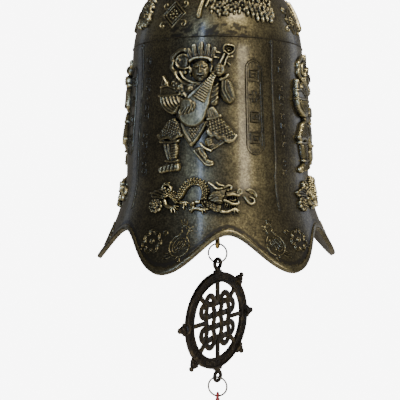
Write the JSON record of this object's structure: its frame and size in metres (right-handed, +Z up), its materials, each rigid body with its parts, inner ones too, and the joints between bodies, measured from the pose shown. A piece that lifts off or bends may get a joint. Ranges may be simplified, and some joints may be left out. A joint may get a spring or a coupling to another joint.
{
  "type": "temple bell",
  "caption": "Cast brass temple bell with a scalloped lip and guardian reliefs, a swinging clapper, and a wheel-shaped wind catcher with a red tassel below.",
  "frame": {"origin": "centre of the bore of the hanging eye on the crown", "axes": "+Z up along the bell's axis; -Y towards the front, the panel with the lute player; the hanging eye's bore runs along Y"},
  "size_m": [0.1206, 0.1206, 0.331],
  "materials": {
    "antique_brass": "antiqued, dark patina with rubbed high points",
    "yellow_brass": "satin, lightly tarnished",
    "dark_bronze": "dark brown cast, slightly rough",
    "ring_wire": "bronze-plated wire",
    "red_cord": "twisted polyester, slight sheen"
  },
  "bodies": {
    "bell": {"bell_shell": "antique_brass", "lute_guardian": "antique_brass", "sword_guardian": "antique_brass", "parasol_guardian": "antique_brass", "pearl_guardian": "antique_brass", "dragon_friezes": "antique_brass", "shoulder_wreath": "antique_brass", "crown_loop": "antique_brass", "crown_washer": "yellow_brass", "crown_nut": "yellow_brass", "eye_nut": "yellow_brass"},
    "link": {"clapper_link": "yellow_brass"},
    "clapper": {"clapper_rod": "yellow_brass", "clapper_ball": "yellow_brass", "ball_collar": "yellow_brass"},
    "upper_ring": {"upper_ring": "ring_wire"},
    "catcher": {"wind_catcher": "dark_bronze"},
    "lower_ring": {"lower_ring": "ring_wire"},
    "tassel": {"cord_hitch": "red_cord", "tassel_cord": "red_cord", "tassel_head": "red_cord", "tassel_threads": "red_cord"}
  },
  "joints": [
    {"name": "link_swing", "type": "hinge", "parent": "bell", "child": "link", "pos_m": [0, 0, -0.03355], "axis": [0, 1, 0], "range_deg": [-14.5, 14.5]},
    {"name": "clapper_swing", "type": "hinge", "parent": "link", "child": "clapper", "pos_m": [0, 0, -0.04355], "axis": [1, 0, 0], "range_deg": [-14.5, 14.5]},
    {"name": "upper_ring_swing", "type": "hinge", "parent": "clapper", "child": "upper_ring", "pos_m": [0, 0, -0.1536], "axis": [0, 1, 0], "range_deg": [-15, 15]},
    {"name": "catcher_swing", "type": "hinge", "parent": "upper_ring", "child": "catcher", "pos_m": [0, 0, -0.1633], "axis": [1, 0, 0], "range_deg": [-20, 20]},
    {"name": "lower_ring_swing", "type": "hinge", "parent": "catcher", "child": "lower_ring", "pos_m": [0, 0, -0.2229], "axis": [0, 1, 0], "range_deg": [-20, 20]},
    {"name": "tassel_swing", "type": "hinge", "parent": "lower_ring", "child": "tassel", "pos_m": [0, 0, -0.2326], "axis": [1, 0, 0], "range_deg": [-25, 25]}
  ]
}
